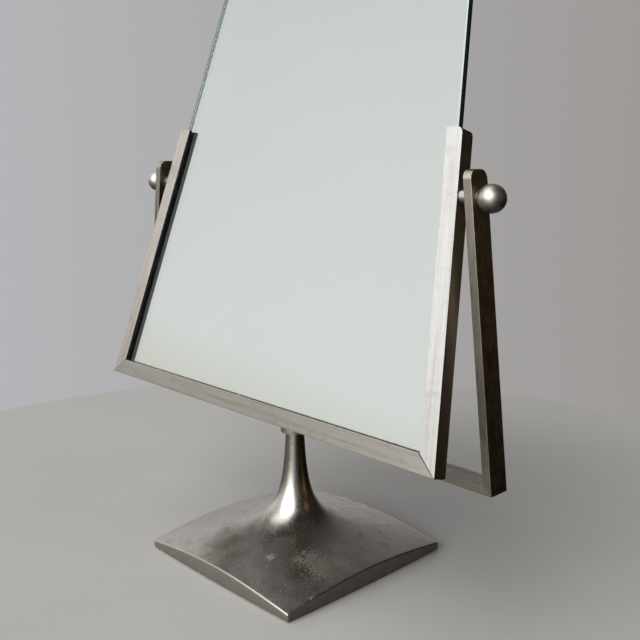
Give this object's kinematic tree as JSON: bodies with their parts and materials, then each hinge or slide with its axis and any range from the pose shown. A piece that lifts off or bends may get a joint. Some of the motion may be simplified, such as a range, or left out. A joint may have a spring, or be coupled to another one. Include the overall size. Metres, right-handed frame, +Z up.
{
  "type": "countertop tilting mirror",
  "caption": "Tapered mirror in a three-sided channel frame that tilts in a flat-bar yoke, on a tall trumpet stem and square flared base, clamped by ball knobs.",
  "frame": {"origin": "on the table, under the middle of the base", "axes": "+X to the mirror's right-hand side as one looks into it, -Y towards the person looking in, +Z up; the tilt axis lies along X"},
  "size_m": [0.3786, 0.1626, 0.4491],
  "materials": {
    "nickel_plated_iron": "worn nickel plate, warm grey, satin, with fine pits and stains",
    "nickel_plated_steel": "worn nickel plate, warm grey, satin, rubbed brighter along the edges",
    "fastener_steel": "dull turned steel",
    "mirror_glass": "polished mirror glass, faint green tint, teal at the edges",
    "black_backing": "black painted fibreboard, matte",
    "bedding_strip": "black, matte",
    "fibre_washer": "red-brown vulcanised fibre, matte",
    "felt": "dark green wool felt"
  },
  "bodies": {
    "stand": {"base_felt": "felt", "base_casting": "nickel_plated_iron", "seat_washer": "nickel_plated_steel", "yoke_crossbar": "nickel_plated_steel", "yoke_arm_right": "nickel_plated_steel", "yoke_arm_left": "nickel_plated_steel", "yoke_screw": "fastener_steel", "base_washer": "fastener_steel", "base_nut": "fastener_steel"},
    "mirror": {"rail_bottom": "nickel_plated_steel", "rail_right": "nickel_plated_steel", "rail_left": "nickel_plated_steel", "mirror_glass": "mirror_glass", "mirror_backing": "black_backing", "bedding_strip_bottom": "bedding_strip", "bedding_strip_right": "bedding_strip", "bedding_strip_left": "bedding_strip", "clamp_screw_right": "fastener_steel", "clamp_screw_left": "fastener_steel", "pivot_stud_right": "fastener_steel", "pivot_stud_left": "fastener_steel", "spacer_bush_right": "nickel_plated_steel", "spacer_bush_left": "nickel_plated_steel", "friction_washer_right": "fibre_washer", "friction_washer_left": "fibre_washer"},
    "thread_right": {"knob_washer_right": "fastener_steel"},
    "knob_right": {"ball_knob_right": "nickel_plated_steel"},
    "thread_left": {"knob_washer_left": "fastener_steel"},
    "knob_left": {"ball_knob_left": "nickel_plated_steel"}
  },
  "joints": [
    {"name": "mirror_tilt", "type": "hinge", "parent": "stand", "child": "mirror", "pos_m": [0, 0, 0.2845], "axis": [1, 0, 0], "continuous": true},
    {"name": "knob_right_travel", "type": "slide", "parent": "mirror", "child": "thread_right", "axis": [1, 0, 0], "range_m": [0, 0.0009]},
    {"name": "knob_right_turn", "type": "hinge", "parent": "thread_right", "child": "knob_right", "pos_m": [0.1756, 0, 0.2845], "axis": [1, 0, 0], "range_deg": [0, 360]},
    {"name": "knob_left_travel", "type": "slide", "parent": "mirror", "child": "thread_left", "axis": [-1, 0, 0], "range_m": [0, 0.0009]},
    {"name": "knob_left_turn", "type": "hinge", "parent": "thread_left", "child": "knob_left", "pos_m": [-0.1756, 0, 0.2845], "axis": [-1, 0, 0], "range_deg": [0, 360]}
  ],
  "couplings": [
    {"joint": "knob_right_travel", "follows": "knob_right_turn", "m_per_rad": 0.0001273},
    {"joint": "knob_left_travel", "follows": "knob_left_turn", "m_per_rad": 0.0001273}
  ]
}
